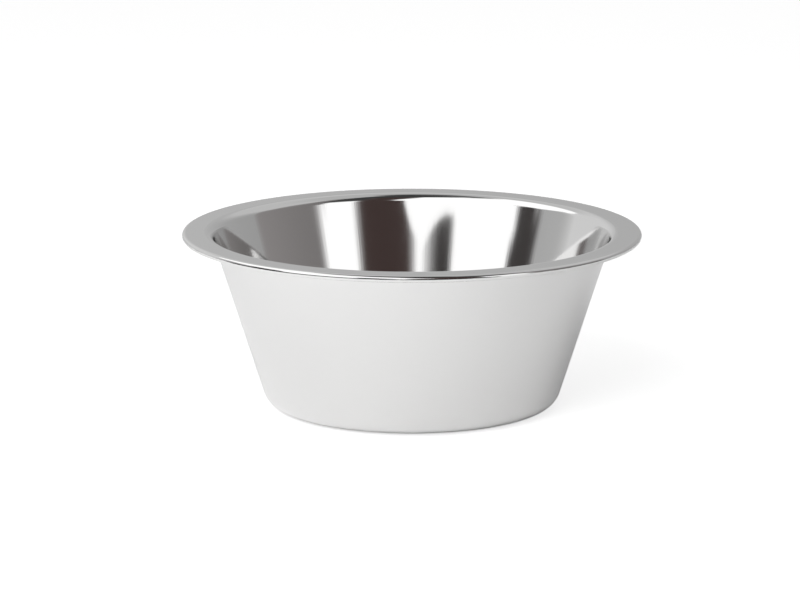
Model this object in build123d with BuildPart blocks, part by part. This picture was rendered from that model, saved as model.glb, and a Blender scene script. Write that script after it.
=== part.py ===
"""Dog bowl pressed from one stainless sheet, with a ribbed rubber ring bonded under its base."""

import os
from math import radians, tan

from build123d import *

# Driving dimensions, in millimetres and degrees
RIM_DIAMETER = 210.0  # over the rolled lip
STEEL_HEIGHT = 81.0  # underside of the steel base to the top of the flange
SHEET = 0.5  # thickness of the stainless sheet

# Flange and its rolled lip
FLANGE_REACH = 12.9  # lip's outermost edge to the wall's outer face, in the rim plane
LIP_DIAMETER = 3.0  # over the rolled edge
LIP_TURN = 170.0  # how far the edge is rolled down and under
THROAT_RADIUS = 4.5  # rounding from the flange into the wall, on the food side

# Wall and base
WALL_LEAN = 17.8  # wall from upright, wider at the top
CORNER_RADIUS = 9.6  # rounding from the wall into the base, on the outside
BASE_LAND = 10.7  # sharp corner of wall and base to the foot of the recess step
PANEL_RISE = 2.0  # how far the base panel is pressed up inside the land
STEP_DRAFT = 31.0  # recess step from upright
STEP_BEND = 0.8  # inside radius of the step's two bends

# Rubber ring in the recess under the base
RING_WIDTH = 9.0  # outer edge to inner edge
RING_PROUD = 0.8  # how far the ring stands below the steel
RING_SIDE_GAP = 1.2  # ring's outer edge to the top of the recess step
RING_EDGE = 0.5  # rounding of the ring's two lower edges
GROOVE_COUNT = 2  # grooves between the ring's ribs
GROOVE_WIDTH = 1.2
GROOVE_DEPTH = 0.6

# Heights above the surface that the bowl stands on
base_z = RING_PROUD
panel_z = base_z + PANEL_RISE
flange_z = base_z + STEEL_HEIGHT - SHEET

# Radii of the sheet's underside, at its sharp corners
rim_radius = RIM_DIAMETER / 2
wall_slope = tan(radians(WALL_LEAN))
wall_radius_in_rim_plane = rim_radius - FLANGE_REACH
flange_corner = wall_radius_in_rim_plane - SHEET * wall_slope
base_corner = wall_radius_in_rim_plane - STEEL_HEIGHT * wall_slope
step_foot = base_corner - BASE_LAND
step_top = step_foot - PANEL_RISE * tan(radians(STEP_DRAFT))
lip_start = rim_radius - LIP_DIAMETER / 2

# The ring lies flat against the panel's underside
ring_outer = step_top - RING_SIDE_GAP
ring_inner = ring_outer - RING_WIDTH
rib_width = (RING_WIDTH - GROOVE_COUNT * GROOVE_WIDTH) / (GROOVE_COUNT + 1)
groove_pitch = rib_width + GROOVE_WIDTH

# Bowl shell: the sheet's underside from the middle of the base to the rolled edge, thickened and spun
with BuildPart() as bowl_shell:
    with BuildSketch(Plane.XZ):
        with BuildLine():
            underside = FilletPolyline(
                (0, panel_z),
                (step_top, panel_z),
                (step_foot, base_z),
                (base_corner, base_z),
                (flange_corner, flange_z),
                (lip_start, flange_z),
                radius=[STEP_BEND, STEP_BEND + SHEET, CORNER_RADIUS, THROAT_RADIUS - SHEET],
            )
            JernArc(underside @ 1, underside % 1, LIP_DIAMETER / 2 - SHEET, -LIP_TURN)
            offset(amount=SHEET, side=Side.LEFT)
        make_face()
    revolve(axis=Axis.Z)
bowl_shell.part.label = "bowl_shell"

# Anti-slip ring: a flat band with rounded lower edges and concentric grooves in its tread
with BuildPart() as anti_slip_ring:
    with BuildSketch(Plane.XZ) as ring_section:
        with Locations(((ring_inner + ring_outer) / 2, 0)):
            Rectangle(RING_WIDTH, panel_z, align=(Align.CENTER, Align.MIN))
        fillet(ring_section.vertices().group_by(Axis.Z)[0], radius=RING_EDGE)
        with Locations(((ring_inner + ring_outer) / 2, GROOVE_DEPTH / 2)):
            with GridLocations(groove_pitch, 0, GROOVE_COUNT, 1):
                Rectangle(GROOVE_WIDTH, GROOVE_DEPTH, mode=Mode.SUBTRACT)
    revolve(axis=Axis.Z)
anti_slip_ring.part.label = "anti_slip_ring"

os.makedirs("parts", exist_ok=True)
export_step(bowl_shell.part, "parts/bowl_shell.step")
export_step(anti_slip_ring.part, "parts/anti_slip_ring.step")

print(f"rim diameter {RIM_DIAMETER} mm, height over the ring {flange_z + SHEET:.1f} mm")
print(f"base land from radius {step_foot:.1f} mm, ring radii {ring_inner:.1f} to {ring_outer:.1f} mm")
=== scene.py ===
# %% [markdown]
# A stainless dog bowl starts as one flat disc of sheet steel. A press draws it into a cup, its edge is
# rolled into a smooth lip, and the whole thing is polished. A ribbed rubber ring is bonded under the
# base, so that it doesn't slide on a kitchen floor. This lesson dresses the measured solids of that
# bowl: a shell turned fine enough to act as a mirror, a rubber ring, their finishes, and a small studio
# for the steel to reflect.

# %% Load the measured solids
import math

import bpy
from mathutils import Matrix, Vector


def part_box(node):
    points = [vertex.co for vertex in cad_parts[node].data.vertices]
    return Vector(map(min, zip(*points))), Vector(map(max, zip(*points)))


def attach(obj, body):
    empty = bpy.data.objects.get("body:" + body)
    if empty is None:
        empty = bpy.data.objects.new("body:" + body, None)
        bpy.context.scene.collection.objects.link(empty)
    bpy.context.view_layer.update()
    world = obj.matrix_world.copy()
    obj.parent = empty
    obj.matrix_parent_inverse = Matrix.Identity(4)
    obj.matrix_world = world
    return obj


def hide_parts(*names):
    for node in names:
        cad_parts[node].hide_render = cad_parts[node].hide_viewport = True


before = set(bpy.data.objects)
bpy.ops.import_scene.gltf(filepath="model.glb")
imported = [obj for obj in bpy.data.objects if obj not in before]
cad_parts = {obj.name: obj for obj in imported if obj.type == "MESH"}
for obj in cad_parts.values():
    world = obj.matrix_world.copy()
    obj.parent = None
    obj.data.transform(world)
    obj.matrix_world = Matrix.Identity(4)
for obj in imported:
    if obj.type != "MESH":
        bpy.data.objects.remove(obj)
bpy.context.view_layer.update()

MM = 0.001

# %% [markdown]
# The solids come in as loose triangles. They are right in size, but a mirror shows every flat facet, so
# the shell is modelled again here. Its overall sizes are read from the solids. What can't be read from
# a box, such as the thickness of the sheet and the roundings, is written down once.

# %% Sizes of the pressed sheet
shell_low, shell_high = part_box("bowl_shell")
ring_low, ring_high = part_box("anti_slip_ring")

RIM_RADIUS = shell_high.x
RIM_TOP = shell_high.z
BASE_BOTTOM = shell_low.z
PANEL_BOTTOM = ring_high.z

SHEET = 0.5 * MM
FLANGE_REACH = 12.9 * MM
LIP_RADIUS = 1.5 * MM
LIP_TURN = math.radians(170)
THROAT_RADIUS = 4.5 * MM
WALL_LEAN = math.radians(17.8)
CORNER_RADIUS = 9.6 * MM
BASE_LAND = 10.7 * MM
STEP_DRAFT = math.radians(31)
STEP_BEND = 0.8 * MM

flange_bottom = RIM_TOP - SHEET
wall_in_rim_plane = RIM_RADIUS - FLANGE_REACH
flange_corner = wall_in_rim_plane - SHEET * math.tan(WALL_LEAN)
base_corner = wall_in_rim_plane - (RIM_TOP - BASE_BOTTOM) * math.tan(WALL_LEAN)
step_foot = base_corner - BASE_LAND
step_top = step_foot - (PANEL_BOTTOM - BASE_BOTTOM) * math.tan(STEP_DRAFT)
lip_start = RIM_RADIUS - LIP_RADIUS
print(f"rim radius {RIM_RADIUS / MM:.1f} mm, base corner at {base_corner / MM:.1f} mm")

# %% [markdown]
# A turned piece is drawn as half a section and spun. The section could be a curve, but drawing it in
# edit mode keeps every rounding exact: a straight run is an extruded vertex, and a rounding is that
# vertex spun about the rounding's own centre. A short step is left at both ends of each run. It keeps
# the smooth shading of the bend from leaking into the flat, which a mirror would show as a smear.

# %% Helpers that draw a section
BEND_STEP = math.radians(5)
FEWEST_BEND_STEPS = 4
EDGE_STEP = 0.25 * MM


def start_section(name, x, z):
    """A new mesh of one vertex, open in edit mode."""
    bpy.ops.object.select_all(action="DESELECT")
    bpy.ops.mesh.primitive_plane_add(size=MM, location=(x, 0, z))
    piece = bpy.context.object
    piece.name = name
    piece.data.name = name
    bpy.ops.object.transform_apply(location=True, rotation=False, scale=False)
    bpy.ops.object.mode_set(mode="EDIT")
    bpy.ops.mesh.merge(type="CENTER")
    return piece


def extrude_to(start, end):
    """Draws the chosen vertex out from start to end."""
    move = end - start
    bpy.ops.mesh.extrude_vertices_move(TRANSFORM_OT_translate={"value": (move.x, 0, move.y)})


def straight_run(start, end):
    """A straight run with a short step at both ends, or three equal steps where it is very short."""
    along = (end - start).normalized() * min(EDGE_STEP, (end - start).length / 3)
    stops = [start, start + along, end - along, end]
    for here, there in zip(stops, stops[1:]):
        extrude_to(here, there)


def bend(start, heading, radius, turn):
    """Spins the chosen vertex round a bend; a turn to the left is positive. Returns where it ends."""
    side = math.copysign(1, turn)
    centre = start + Vector((-heading.y, heading.x)) * radius * side
    steps = max(FEWEST_BEND_STEPS, round(abs(turn) / BEND_STEP))
    bpy.ops.mesh.spin(steps=steps, angle=turn, center=(centre.x, 0, centre.y), axis=(0, 1, 0))
    arm = start - centre
    arm.rotate(Matrix.Rotation(turn, 2))
    return centre + arm


def draw_rounded(corners):
    """Draws a line through the corners, each an (x, z, rounding), with no rounding at the two ends."""
    points = [Vector(corner[:2]) for corner in corners]
    roundings = [corner[2] for corner in corners[1:-1]]
    here = points[0]
    for before, corner, after, rounding in zip(points, points[1:], points[2:], roundings):
        arrive = (corner - before).normalized()
        leave = (after - corner).normalized()
        turn = math.atan2(arrive.cross(leave), arrive.dot(leave))
        setback = rounding * math.tan(abs(turn) / 2)
        tangent = corner - arrive * setback
        straight_run(here, tangent)
        here = bend(tangent, arrive, rounding, turn) if rounding else tangent
    straight_run(here, points[-1])
    return points[-1]


print("bends are drawn in steps of", round(math.degrees(BEND_STEP)), "degrees")

# %% [markdown]
# Spinning the section leaves two rows of points on the same line, where the turn closes, and a bundle
# of them on the axis. Merging these makes one skin. Its faces are then turned to agree with each other.

# %% Helpers that spin a section and measure a piece
MERGE_GAP = 0.002 * MM
SMOOTH_BELOW = math.radians(40)


def spin_section(segments):
    """Spins the section once round the upright axis, and closes the seam and the pole."""
    bpy.ops.mesh.select_all(action="SELECT")
    bpy.ops.mesh.spin(steps=segments, angle=math.tau, center=(0, 0, 0), axis=(0, 0, 1))
    bpy.ops.mesh.select_all(action="SELECT")
    bpy.ops.mesh.remove_doubles(threshold=MERGE_GAP)
    bpy.ops.mesh.normals_make_consistent(inside=False)
    bpy.ops.object.mode_set(mode="OBJECT")


def measure(piece):
    """Prints a finished piece's triangles and size."""
    triangles = sum(len(face.vertices) - 2 for face in piece.data.polygons)
    size = [round(side / MM, 2) for side in piece.dimensions]
    print(f"{piece.name}: {triangles} triangles, {size} mm")


print("edges under", round(math.degrees(SMOOTH_BELOW)), "degrees are shaded smooth")

# %% [markdown]
# The shell is one sheet, so only its underside is drawn: out along the raised base panel, down the
# small step to the land, round the corner, up the leaning wall, out along the flange and round the
# rolled lip. Solidify then gives the sheet its thickness on the food side, the same everywhere, as a
# rolled sheet has. It builds behind the faces, and those of an open sheet may be turned either way, so
# the base panel is looked at first, and the whole sheet is turned over if it faces up.

# %% Bowl shell
SHELL_SEGMENTS = 320

shell = start_section("bowl", 0, PANEL_BOTTOM)
lip_tangent = draw_rounded([
    (0, PANEL_BOTTOM),
    (step_top, PANEL_BOTTOM, STEP_BEND),
    (step_foot, BASE_BOTTOM, STEP_BEND + SHEET),
    (base_corner, BASE_BOTTOM, CORNER_RADIUS),
    (flange_corner, flange_bottom, THROAT_RADIUS - SHEET),
    (lip_start, flange_bottom),
])
bend(lip_tangent, Vector((1, 0)), LIP_RADIUS - SHEET, -LIP_TURN)
spin_section(SHELL_SEGMENTS)

panel_face = min(shell.data.polygons, key=lambda face: abs(face.center.z - PANEL_BOTTOM))
if panel_face.normal.z > 0:
    bpy.ops.object.mode_set(mode="EDIT")
    bpy.ops.mesh.select_all(action="SELECT")
    bpy.ops.mesh.flip_normals()
    bpy.ops.object.mode_set(mode="OBJECT")

sheet = shell.modifiers.new("sheet", "SOLIDIFY")
sheet.thickness = SHEET
sheet.offset = -1
sheet.use_even_offset = True
sheet.use_quality_normals = True
bpy.ops.object.modifier_apply(modifier=sheet.name)
bpy.ops.object.shade_smooth_by_angle(angle=SMOOTH_BELOW)
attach(shell, "root")
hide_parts("bowl_shell")
measure(shell)

# %% [markdown]
# The anti-slip ring is a moulded band of rubber. Its top is bonded flat against the base panel, and its
# tread has two grooves that leave three ribs. Its section is a closed outline, so it is drawn back to
# its start.

# %% Anti-slip ring
RING_SEGMENTS = 180
RING_WIDTH = 9.0 * MM
RING_EDGE = 0.5 * MM
RIB_EDGE = 0.2 * MM
GROOVE_COUNT = 2
GROOVE_WIDTH = 1.2 * MM
GROOVE_DEPTH = 0.6 * MM

ring_outer = ring_high.x
ring_inner = ring_outer - RING_WIDTH
rib_width = (RING_WIDTH - GROOVE_COUNT * GROOVE_WIDTH) / (GROOVE_COUNT + 1)
groove_top = ring_low.z + GROOVE_DEPTH

ring = start_section("anti_slip_ring_rubber", ring_inner, ring_high.z)
outline = [(ring_inner, ring_high.z), (ring_inner, ring_low.z, RING_EDGE)]
for number in range(GROOVE_COUNT):
    near = ring_inner + (number + 1) * rib_width + number * GROOVE_WIDTH
    far = near + GROOVE_WIDTH
    outline += [
        (near, ring_low.z, RIB_EDGE),
        (near, groove_top, RIB_EDGE),
        (far, groove_top, RIB_EDGE),
        (far, ring_low.z, RIB_EDGE),
    ]
outline += [(ring_outer, ring_low.z, RING_EDGE), (ring_outer, ring_high.z, 0), (ring_inner, ring_high.z)]
draw_rounded(outline)
spin_section(RING_SEGMENTS)
bpy.ops.object.shade_smooth_by_angle(angle=SMOOTH_BELOW)
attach(ring, "root")
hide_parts("anti_slip_ring")
measure(ring)

# %% [markdown]
# A finish is a small tree of nodes. Adding a node, setting it up and joining it is the same work each
# time, so three helpers do it from here on.

# %% Helpers for nodes
def new_group(name, inputs, outputs):
    """An empty shader node group with float inputs and outputs."""
    group = bpy.data.node_groups.new(name, "ShaderNodeTree")
    for label, value in inputs.items():
        socket = group.interface.new_socket(label, in_out="INPUT", socket_type="NodeSocketFloat")
        socket.default_value = value
    for label in outputs:
        group.interface.new_socket(label, in_out="OUTPUT", socket_type="NodeSocketFloat")
    return group


def add_node(tree, kind, **settings):
    """A node of that kind, with its settings."""
    node = tree.nodes.new(kind)
    for label, value in settings.items():
        setattr(node, label, value)
    return node


def math_node(tree, operation, first, second):
    """A math node on two values, each a socket or a number."""
    node = add_node(tree, "ShaderNodeMath", operation=operation)
    for socket, value in zip(node.inputs, (first, second)):
        if isinstance(value, (int, float)):
            socket.default_value = value
        else:
            tree.links.new(value, socket)
    return node.outputs[0]


print("made the helpers new_group, add_node and math_node")

# %% [markdown]
# Both finishes carry fine marks that run up the wall and out from the middle. On the steel they come
# from being drawn through the die, and on the rubber from being pulled out of its mould. They are one
# effect, so they are one node group. It takes the direction round the axis, breaks it into uneven lines
# that wander with the height, fades them out towards the middle, where nothing was dragged, and adds
# large soft patches of duller finish.

# %% Draw marks, shared by both finishes
MARKS_FROM, MARKS_FULL = 45 * MM, 60 * MM
MARK_LENGTH = 25 * MM
MARK_DETAIL, PATCH_DETAIL = 2.0, 3.0
WALL_MIDDLE_MM = 85.0

draw_marks = new_group("draw_marks", {"Marks per mm": 1.0, "Patch size mm": 30.0}, ["Marks", "Patches"])
tree = draw_marks
group_in = add_node(tree, "NodeGroupInput")
group_out = add_node(tree, "NodeGroupOutput")
place = add_node(tree, "ShaderNodeTexCoord").outputs["Object"]
split = add_node(tree, "ShaderNodeSeparateXYZ")
tree.links.new(place, split.inputs[0])
flat = add_node(tree, "ShaderNodeCombineXYZ")
tree.links.new(split.outputs["X"], flat.inputs["X"])
tree.links.new(split.outputs["Y"], flat.inputs["Y"])
radius = add_node(tree, "ShaderNodeVectorMath", operation="LENGTH")
tree.links.new(flat.outputs[0], radius.inputs[0])
drawn = add_node(tree, "ShaderNodeMapRange")
drawn.inputs["From Min"].default_value = MARKS_FROM
drawn.inputs["From Max"].default_value = MARKS_FULL
tree.links.new(radius.outputs["Value"], drawn.inputs["Value"])
outward = add_node(tree, "ShaderNodeVectorMath", operation="NORMALIZE")
tree.links.new(flat.outputs[0], outward.inputs[0])
around = add_node(tree, "ShaderNodeVectorMath", operation="SCALE")
tree.links.new(outward.outputs[0], around.inputs[0])
marks_per_turn = math_node(tree, "MULTIPLY", group_in.outputs["Marks per mm"], WALL_MIDDLE_MM)
tree.links.new(marks_per_turn, around.inputs["Scale"])
along = add_node(tree, "ShaderNodeCombineXYZ")
tree.links.new(math_node(tree, "DIVIDE", split.outputs["Z"], MARK_LENGTH), along.inputs["Z"])
mark_place = add_node(tree, "ShaderNodeVectorMath", operation="ADD")
tree.links.new(around.outputs[0], mark_place.inputs[0])
tree.links.new(along.outputs[0], mark_place.inputs[1])
marks = add_node(tree, "ShaderNodeTexNoise")
marks.inputs["Scale"].default_value = 1.0
marks.inputs["Detail"].default_value = MARK_DETAIL
tree.links.new(mark_place.outputs[0], marks.inputs["Vector"])
tree.links.new(math_node(tree, "MULTIPLY", marks.outputs[0], drawn.outputs[0]), group_out.inputs["Marks"])
patches = add_node(tree, "ShaderNodeTexNoise")
patches.inputs["Detail"].default_value = PATCH_DETAIL
tree.links.new(place, patches.inputs["Vector"])
patch_scale = math_node(tree, "DIVIDE", 1 / MM, group_in.outputs["Patch size mm"])
tree.links.new(patch_scale, patches.inputs["Scale"])
tree.links.new(patches.outputs[0], group_out.inputs["Patches"])
print("draw_marks has", len(tree.nodes), "nodes")

# %% [markdown]
# A finish takes its variety from noise. A noise value stays near the middle of its range, so it is
# spread before it drives a roughness. It also mixes two close colours, and a bump lets it shade the
# surface a little.

# %% Helpers for a finish
NOISE_LOW, NOISE_HIGH = 0.3, 0.7
MIX_FIRST, MIX_SECOND, MIX_RESULT = 6, 7, 2  # the Mix node's sockets for colours


def new_material(name):
    """A material, its nodes and its Principled shader."""
    material = bpy.data.materials.new(name)
    material.use_nodes = True
    return material, material.node_tree, material.node_tree.nodes["Principled BSDF"]


def spread(tree, value, low, high):
    """Maps a noise value to the range from low to high."""
    node = add_node(tree, "ShaderNodeMapRange")
    node.inputs["From Min"].default_value = NOISE_LOW
    node.inputs["From Max"].default_value = NOISE_HIGH
    node.inputs["To Min"].default_value = low
    node.inputs["To Max"].default_value = high
    tree.links.new(value, node.inputs["Value"])
    return node.outputs[0]


def tinted(tree, mask, first, second):
    """A colour between two colours, by a mask."""
    node = add_node(tree, "ShaderNodeMix", data_type="RGBA")
    node.inputs[MIX_FIRST].default_value = (*first, 1)
    node.inputs[MIX_SECOND].default_value = (*second, 1)
    tree.links.new(mask, node.inputs[0])
    return node.outputs[MIX_RESULT]


def shallow_bump(tree, height, shader, strength, depth):
    """A bump of that depth, in metres, on the shader's normal."""
    bump = add_node(tree, "ShaderNodeBump")
    bump.inputs["Strength"].default_value = strength
    bump.inputs["Distance"].default_value = depth
    tree.links.new(height, bump.inputs["Height"])
    tree.links.new(bump.outputs[0], shader.inputs["Normal"])


print("noise is spread from", NOISE_LOW, "to", NOISE_HIGH)

# %% [markdown]
# Polished stainless is a plain metal to the shader: metallic all over, a light neutral colour and a low
# roughness. What keeps it from looking like chrome plate are the draw marks and soft patches that are a
# shade duller, so both drive the roughness, and the marks also drive a very shallow bump. Marks that
# run up the wall blur a reflection sideways and hardly up and down. That is anisotropy, with its
# tangent laid across the marks.

# %% Polished steel
STEEL_MARKS_PER_MM = 1.6
STEEL_PATCH_MM = 35.0
STEEL_BRIGHT = (0.775, 0.773, 0.77)
STEEL_DULL = (0.755, 0.753, 0.75)
PATCH_ROUGH = (0.046, 0.054)
MARK_ROUGH = (-0.004, 0.004)
MARK_BUMP, MARK_DEPTH = 0.25, 0.02 * MM

steel, tree, shader = new_material("polished_steel")
finish = add_node(tree, "ShaderNodeGroup", node_tree=draw_marks)
finish.inputs["Marks per mm"].default_value = STEEL_MARKS_PER_MM
finish.inputs["Patch size mm"].default_value = STEEL_PATCH_MM
shader.inputs["Metallic"].default_value = 1.0
steel_colour = tinted(tree, finish.outputs["Patches"], STEEL_BRIGHT, STEEL_DULL)
tree.links.new(steel_colour, shader.inputs["Base Color"])
mark_rough = spread(tree, finish.outputs["Marks"], *MARK_ROUGH)
patch_rough = spread(tree, finish.outputs["Patches"], *PATCH_ROUGH)
tree.links.new(math_node(tree, "ADD", mark_rough, patch_rough), shader.inputs["Roughness"])
shallow_bump(tree, finish.outputs["Marks"], shader, MARK_BUMP, MARK_DEPTH)
shader.inputs["Anisotropic"].default_value = 1.0
split = add_node(tree, "ShaderNodeSeparateXYZ")
tree.links.new(add_node(tree, "ShaderNodeTexCoord").outputs["Object"], split.inputs[0])
across_marks = add_node(tree, "ShaderNodeCombineXYZ")
tree.links.new(math_node(tree, "MULTIPLY", split.outputs["Y"], -1.0), across_marks.inputs["X"])
tree.links.new(split.outputs["X"], across_marks.inputs["Y"])
tree.links.new(across_marks.outputs[0], shader.inputs["Tangent"])
shell.data.materials.clear()
shell.data.materials.append(steel)
print("steel colour", STEEL_BRIGHT)

# %% [markdown]
# The rubber is dark, dull and slightly dusty. Fine grain makes it read as moulded rubber and not as
# paint.

# %% Ring rubber
RUBBER_MARKS_PER_MM = 4.0
RUBBER_PATCH_MM = 12.0
RUBBER_DARK = (0.022, 0.022, 0.023)
RUBBER_DUSTY = (0.05, 0.05, 0.049)
RUBBER_ROUGH = (0.6, 0.8)
RUBBER_SPECULAR = 0.4
GRAIN = 0.35 * MM
MARK_SHARE = 0.5
GRAIN_BUMP, GRAIN_DEPTH = 0.25, 0.1 * MM

rubber, tree, shader = new_material("ring_rubber")
finish = add_node(tree, "ShaderNodeGroup", node_tree=draw_marks)
finish.inputs["Marks per mm"].default_value = RUBBER_MARKS_PER_MM
finish.inputs["Patch size mm"].default_value = RUBBER_PATCH_MM
rubber_colour = tinted(tree, finish.outputs["Patches"], RUBBER_DARK, RUBBER_DUSTY)
tree.links.new(rubber_colour, shader.inputs["Base Color"])
tree.links.new(spread(tree, finish.outputs["Patches"], *RUBBER_ROUGH), shader.inputs["Roughness"])
shader.inputs["Specular IOR Level"].default_value = RUBBER_SPECULAR
grain = add_node(tree, "ShaderNodeTexNoise")
grain.inputs["Scale"].default_value = 1 / GRAIN
tree.links.new(add_node(tree, "ShaderNodeTexCoord").outputs["Object"], grain.inputs["Vector"])
mark_height = math_node(tree, "MULTIPLY", finish.outputs["Marks"], MARK_SHARE)
height = math_node(tree, "ADD", grain.outputs[0], mark_height)
shallow_bump(tree, height, shader, GRAIN_BUMP, GRAIN_DEPTH)
ring.data.materials.clear()
ring.data.materials.append(rubber)
print("rubber colour", RUBBER_DARK)

# %% [markdown]
# The studio needs only plain surfaces: matt ones, glowing ones, and ones that change from one shader to
# another by a factor. Each starts from a material with no nodes.

# %% Helpers for the studio's surfaces
def bare_material(name):
    """A material with no nodes yet, and its tree."""
    material = bpy.data.materials.new(name)
    material.use_nodes = True
    material.node_tree.nodes.clear()
    return material, material.node_tree


def matt(tree, level):
    """A plain matt surface of that grey."""
    pale = add_node(tree, "ShaderNodeBsdfDiffuse")
    pale.inputs["Color"].default_value = (level, level, level, 1)
    return pale.outputs[0]


def glowing(tree, strength, surface):
    """A surface that also glows."""
    glow = add_node(tree, "ShaderNodeEmission")
    glow.inputs["Strength"].default_value = strength
    both = add_node(tree, "ShaderNodeAddShader")
    tree.links.new(glow.outputs[0], both.inputs[0])
    tree.links.new(surface, both.inputs[1])
    return both.outputs[0]


def choose(tree, factor, off, on):
    """One shader where the factor is nought and another where it is one."""
    mix = add_node(tree, "ShaderNodeMixShader")
    tree.links.new(factor, mix.inputs[0])
    tree.links.new(off, mix.inputs[1])
    tree.links.new(on, mix.inputs[2])
    return mix.outputs[0]


def show(tree, shader):
    """Joins a finished shader to the material's surface."""
    surface = add_node(tree, "ShaderNodeOutputMaterial")
    tree.links.new(shader, surface.inputs["Surface"])


print("made the helpers bare_material, matt, glowing, choose and show")

# %% [markdown]
# The floor is a wide pale sheet. The steel sees it just as the lamps light it, with the bowl's shadow
# on it. The camera sees it glow as well, so that it reaches white with only a trace of that shadow.
# From below it is clear, so that the base can be looked at.

# %% Floor
FLOOR_RADIUS = 7.0
FLOOR_SIDES = 96
FLOOR_PALE = 0.9
CAMERA_GLOW, CAMERA_PALE = 0.72, 0.5

bpy.ops.object.select_all(action="DESELECT")
bpy.ops.mesh.primitive_circle_add(vertices=FLOOR_SIDES, radius=FLOOR_RADIUS, fill_type="NGON")
floor = bpy.context.object
floor.name = "floor"
floor_finish, tree = bare_material("pale_floor")
to_camera = glowing(tree, CAMERA_GLOW, matt(tree, CAMERA_PALE))
to_steel = matt(tree, FLOOR_PALE)
is_camera = add_node(tree, "ShaderNodeLightPath").outputs["Is Camera Ray"]
clear = add_node(tree, "ShaderNodeBsdfTransparent").outputs[0]
is_below = add_node(tree, "ShaderNodeNewGeometry").outputs["Backfacing"]
show(tree, choose(tree, is_below, choose(tree, is_camera, to_steel, to_camera), clear))
floor.data.materials.append(floor_finish)
print("floor radius", FLOOR_RADIUS, "m")

# %% [markdown]
# A mirror has no look of its own: it shows the studio. So the studio is built as a photographer would
# build it for a polished bowl, from lit screens and dark flags, most of them well away from it. Each is
# a patch of a sphere round the bowl, given by the directions that it covers: degrees round from the
# camera, to the right when positive, and degrees above the floor. A screen's glow can run from one
# level to another, and its edges can fade out softly, so that a stripe in the steel has a soft side.

# %% The glow of a screen or flag
BLUE_LOSS = 1.15  # blue that a warm grey gives up for each part of green


def edge_cover(tree, place, edge, inside):
    """How much of the light behind is covered: none at the edge, all inside, and rising fast at first."""
    bare = add_node(tree, "ShaderNodeMapRange")
    bare.inputs["From Min"].default_value = edge
    bare.inputs["From Max"].default_value = inside
    bare.inputs["To Min"].default_value = 1.0
    bare.inputs["To Max"].default_value = 0.0
    tree.links.new(place, bare.inputs["Value"])
    squared = math_node(tree, "MULTIPLY", bare.outputs[0], bare.outputs[0])
    return math_node(tree, "SUBTRACT", 1.0, squared)


def screen_finish(name, levels, warmth, soft):
    """A glow from one level to another that fades out over a share of its start, end, bottom and top."""
    material, tree = bare_material(name)
    split = add_node(tree, "ShaderNodeSeparateXYZ")
    tree.links.new(add_node(tree, "ShaderNodeUVMap").outputs[0], split.inputs[0])
    across, up = split.outputs["X"], split.outputs["Y"]
    level = add_node(tree, "ShaderNodeMapRange")
    level.inputs["To Min"].default_value, level.inputs["To Max"].default_value = levels
    tree.links.new(across, level.inputs["Value"])
    glow = add_node(tree, "ShaderNodeEmission")
    glow.inputs["Color"].default_value = (1, 1 - warmth, 1 - warmth * BLUE_LOSS, 1)
    tree.links.new(level.outputs[0], glow.inputs["Strength"])
    finished = glow.outputs[0]
    clear = add_node(tree, "ShaderNodeBsdfTransparent").outputs[0]
    start, end, bottom, top = soft
    edges = ((across, 0, start), (across, 1, 1 - end), (up, 0, bottom), (up, 1, 1 - top))
    for place, edge, inside in edges:
        if edge != inside:
            finished = choose(tree, edge_cover(tree, place, edge, inside), clear, finished)
    show(tree, finished)
    return material


print("a warm grey gives up", BLUE_LOSS, "times as much blue as green")

# %% [markdown]
# A screen is a grid whose points are moved out to their directions. Its lower and upper edges may
# curve, and its sides may slant. The camera doesn't see it and it casts no light on the floor, so it
# only draws the steel.

# %% A screen or flag
GRID_ACROSS, GRID_UP = 36, 12


def direction(around, above):
    """The direction that lies so many degrees round from the camera and above the floor."""
    around, above = math.radians(around), math.radians(above)
    flat = math.cos(above)
    return Vector((math.sin(around) * flat, -math.cos(around) * flat, math.sin(above)))


def between(ends, share):
    """A value on the smooth line through a start, a middle and an end."""
    start, middle, end = ends
    rest = 1 - share
    return start * rest * (rest - share) + middle * 4 * share * rest + end * share * (share - rest)


def repeated(value, count):
    """A tuple as it is, or one number as many times as it is needed."""
    return value if isinstance(value, tuple) else (value,) * count


def screen(name, distance, around, low, high, levels, soft=(0, 0, 0, 0), warmth=0):
    """A patch of a sphere round the bowl that only reflections see, measured in degrees.

    It runs around from a start to an end, each one number or, on a slant, a lower and an upper one.
    Low and high are its edges, each one number or those at its start, middle and end. Levels is its
    glow, one number or those at its start and end. Soft is how far it fades in from its start, end,
    bottom and top.
    """
    low, high = repeated(low, 3), repeated(high, 3)
    start, end = repeated(around[0], 2), repeated(around[1], 2)
    bpy.ops.object.select_all(action="DESELECT")
    bpy.ops.mesh.primitive_grid_add(
        x_subdivisions=GRID_ACROSS, y_subdivisions=GRID_UP, size=2, calc_uvs=True,
    )
    patch = bpy.context.object
    patch.name = name
    for vertex in patch.data.vertices:
        across, up = (vertex.co.x + 1) / 2, (vertex.co.y + 1) / 2
        bottom, top = between(low, across), between(high, across)
        first, last = start[0] + (start[1] - start[0]) * up, end[0] + (end[1] - end[0]) * up
        vertex.co = direction(first + (last - first) * across, bottom + (top - bottom) * up) * distance
    wide, tall = abs(end[0] - start[0]), high[1] - low[1]
    shares = (soft[0] / wide, soft[1] / wide, soft[2] / tall, soft[3] / tall)
    patch.data.materials.append(screen_finish(name, repeated(levels, 2), warmth, shares))
    patch.visible_camera = False
    patch.visible_diffuse = False
    patch.visible_shadow = False
    patch.visible_transmission = False


print("each screen is a grid of", GRID_ACROSS, "by", GRID_UP)

# %% [markdown]
# The farthest screens are a grey tent with a lighter wall and an opening overhead, a reflector on the
# left and a darker corner on the right. Each layer of screens stands a little nearer than the one that
# it covers.

# %% Far screens
FAR = 4.0
LAYER = 0.05
GROUND = -3

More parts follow.
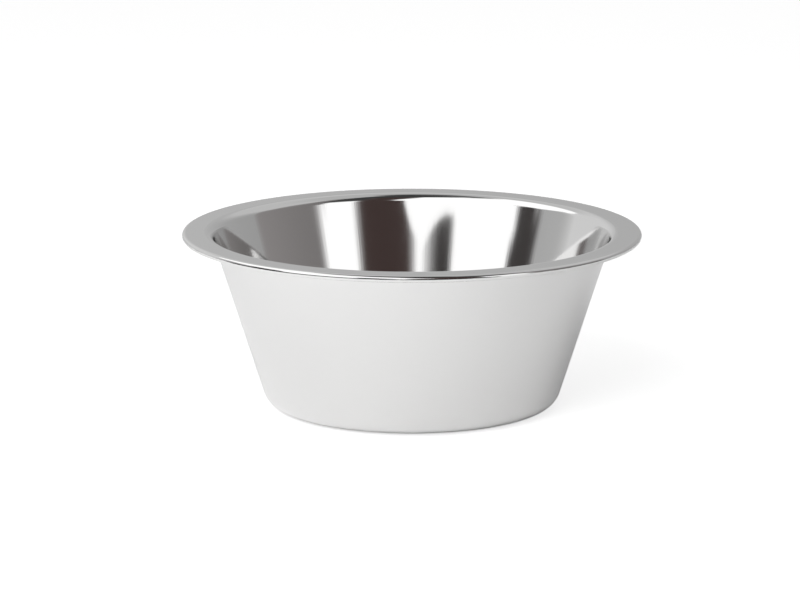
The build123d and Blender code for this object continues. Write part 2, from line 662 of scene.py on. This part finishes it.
screen("tent", FAR, around=(-180, 180), low=GROUND, high=90, levels=0.54)
screen(
    "tent_wall", FAR - LAYER, around=(-180, 180), low=20, high=64,
    levels=0.62, soft=(0, 0, 12, 16),
)
screen(
    "opening_front", FAR - 2 * LAYER, around=(-75, 62), low=(74, 58, 50), high=90,
    levels=0.05, soft=(20, 8, 6, 0),
)
screen(
    "opening_back", FAR - 2 * LAYER, around=(62, 285), low=(80, 74, 58), high=90,
    levels=0.07, soft=(0, 0, 10, 0),
)
screen(
    "left_reflector", FAR - 3 * LAYER, around=(-98, -176), low=GROUND, high=(38, 38, 36),
    levels=(0.77, 0.73), soft=(10, 26, 0, 12),
)
screen(
    "right_corner", FAR - 3 * LAYER, around=(100, 186), low=GROUND, high=32,
    levels=(0.39, 0.49), soft=(1, 12, 0, 24),
)
print("tent", FAR, "m away")

# %% [markdown]
# In front of the tent stand a wide white screen on the left and a narrow one on the right. They draw
# the white in the steel. A grey wing stands before the foot of the left one, and a grey curtain before
# the edge of the right one.

# %% White screens
WHITE = 1.34
RIGHT_WARM = 0.05

screen(
    "left_screen", FAR - 4 * LAYER, around=(13, -136), low=(5, 8, 36), high=(56.5, 68.3, 63.5),
    levels=WHITE, soft=(0, 10, 0, 4),
)
screen(
    "left_wing", FAR - 5 * LAYER, around=(-83, -114), low=GROUND, high=(23, 25, 31),
    levels=(0.48, 0.53), soft=(0, 14, 0, 3),
)
screen("right_screen", FAR - 5 * LAYER, around=(13, 64), low=GROUND, high=40, levels=WHITE)
screen(
    "right_curtain", FAR - 6 * LAYER, around=(57.7, 109), low=GROUND, high=(70, 45, 26),
    levels=(0.21, 0.305), soft=(6.4, 5, 0, 20), warmth=RIGHT_WARM,
)
screen(
    "curtain_top", FAR - 6 * LAYER, around=(54.6, 75), low=22.3, high=(70, 68, 66),
    levels=0.21, soft=(6.4, 10, 1.5, 20), warmth=RIGHT_WARM,
)
print("white screens at", WHITE)

# %% [markdown]
# Dark flags then cut stripes into the white. Two of them have a cut-off corner, which is a second,
# lower patch. Most of them are a little warm, those in the middle the most.

# %% Dark flags
FLAG = FAR - 8 * LAYER
DARK, BLADE_DARK = 0.0575, 0.05
MIDDLE_WARM, LEFT_WARM = 0.32, 0.09

screen(
    "middle_flag", FLAG, around=(10, 37.8), low=GROUND, high=(27.9, 29.2, 24.8),
    levels=DARK, soft=(0, 6.8, 0, 0.3), warmth=MIDDLE_WARM,
)
screen(
    "middle_corner", FLAG, around=(-3.7, 12), low=GROUND, high=(25.9, 26.58, 28.4),
    levels=DARK, soft=(7.6, 0, 0, 0.15), warmth=MIDDLE_WARM,
)
screen(
    "tower", FLAG, around=((13.9, -14), 37), low=26, high=62,
    levels=DARK, soft=(4, 6.8, 0, 6), warmth=MIDDLE_WARM,
)
screen("strip_top", FLAG, around=(30, 62), low=29, high=62, levels=DARK, soft=(0, 4, 9, 6))
screen(
    "left_flag", FLAG, around=(-65.2, -87.5), low=GROUND, high=(20.9, 19.3, 17.8),
    levels=DARK, soft=(4.5, 6.4, 0, 0.7), warmth=LEFT_WARM,
)
screen(
    "left_tower", FLAG, around=(-67.4, -85.5), low=GROUND, high=22.8,
    levels=DARK, soft=(4.5, 6.4, 0, 2), warmth=LEFT_WARM,
)
screen(
    "blade", FLAG, around=(-6.4, -28.3), low=GROUND, high=(25.5, 25.89, 25.36),
    levels=BLADE_DARK, soft=(13, 4.5, 0, 0.07), warmth=LEFT_WARM,
)
print("dark flags at", DARK)

# %% [markdown]
# Three pieces stand nearer. Each part of the bowl sees a near piece in a direction of its own, so it
# can be placed for one part alone. Two low flags draw the dark line along the lip. From the camera, a
# small board on the left shows only at the right end, where the steel reflects itself twice.

# %% Near flags
LIP_FLAG, LIP_FLAG_RIGHT, BOARD = 0.35, 0.7, 1.0

screen("low_flag_left", LIP_FLAG, around=(-92, 38), low=0, high=17, levels=DARK, soft=(8, 3, 0, 0))
screen(
    "low_flag_right", LIP_FLAG_RIGHT, around=(66, 104), low=0, high=9.5,
    levels=0.1, soft=(4, 8, 0, 0),
)
screen(
    "left_board", BOARD, around=(-68, -86), low=(28.5, 26.5, 24.1), high=(31, 29.2, 26.7),
    levels=0.2, soft=(8, 2, 0, 0), warmth=LEFT_WARM,
)
print("nearest flag", LIP_FLAG, "m away")

# %% [markdown]
# The lamps light what isn't a mirror: the floor and the rubber. A large soft lamp stands in front, to
# the left of the camera, and a small one close by on the left, so the bowl's soft shadow falls behind
# it to the right. Neither shows in the steel, because the screens already stand there.

# %% Lamps
def soft_lamp(name, around, above, distance, size, power):
    """A square lamp that looks at the bowl from that direction."""
    lamp = bpy.data.lights.new(name, "AREA")
    lamp.size = size
    lamp.energy = power
    stand = bpy.data.objects.new(name, lamp)
    bpy.context.scene.collection.objects.link(stand)
    stand.location = direction(around, above) * distance
    stand.rotation_euler = (-stand.location).to_track_quat("-Z", "Y").to_euler()
    stand.visible_camera = False
    stand.visible_glossy = False
    print(name, power, "W")


soft_lamp("key_lamp", around=-25, above=35, distance=1.2, size=0.9, power=13.0)
soft_lamp("side_lamp", around=-90, above=35, distance=0.7, size=0.5, power=1.22)

# %% [markdown]
# The world is the white behind everything. The camera and reflections see it plain white, and to all
# else it is a softer light.

# %% World
WORLD_WHITE = 1.0
WORLD_SOFT = 0.58

world = bpy.data.worlds.new("studio")
bpy.context.scene.world = world
world.use_nodes = True
tree = world.node_tree
tree.nodes.clear()
path = add_node(tree, "ShaderNodeLightPath")
shown = math_node(tree, "MAXIMUM", path.outputs["Is Camera Ray"], path.outputs["Is Glossy Ray"])
shown = math_node(tree, "MAXIMUM", shown, path.outputs["Is Transmission Ray"])
level = add_node(tree, "ShaderNodeMapRange")
level.inputs["To Min"].default_value = WORLD_SOFT
level.inputs["To Max"].default_value = WORLD_WHITE
tree.links.new(shown, level.inputs["Value"])
background = add_node(tree, "ShaderNodeBackground")
tree.links.new(level.outputs[0], background.inputs["Strength"])
sky = add_node(tree, "ShaderNodeOutputWorld")
tree.links.new(background.outputs[0], sky.inputs["Surface"])
print("world", WORLD_WHITE, "to the camera and", WORLD_SOFT, "as light")

# %% [markdown]
# The camera stands two metres away with a long lens, tilted down by about twelve degrees. Its place was
# found by fitting the turned profile to the outline of the bowl in the picture.

# %% Camera
CAMERA_TILT = math.radians(11.99)
CAMERA_DISTANCE = 2.0208
CAMERA_LEFT = 5.45 * MM
CAMERA_DROP = 31.95 * MM
CAMERA_LENS = 198.9
SENSOR_WIDTH = 36

ahead = Vector((0, math.cos(CAMERA_TILT), -math.sin(CAMERA_TILT)))
upward = Vector((0, math.sin(CAMERA_TILT), math.cos(CAMERA_TILT)))
lens = bpy.data.cameras.new("camera")
lens.sensor_width = SENSOR_WIDTH
lens.lens = CAMERA_LENS
camera = bpy.data.objects.new("camera", lens)
bpy.context.scene.collection.objects.link(camera)
rim_centre = Vector((0, 0, RIM_TOP))
aim = rim_centre - Vector((CAMERA_LEFT, 0, 0)) - upward * CAMERA_DROP
camera.location = aim - ahead * CAMERA_DISTANCE
camera.rotation_euler = (math.pi / 2 - CAMERA_TILT, 0, 0)
bpy.context.scene.camera = camera
bpy.context.scene.view_settings.view_transform = "Standard"
print("camera at", [round(side, 4) for side in camera.location])
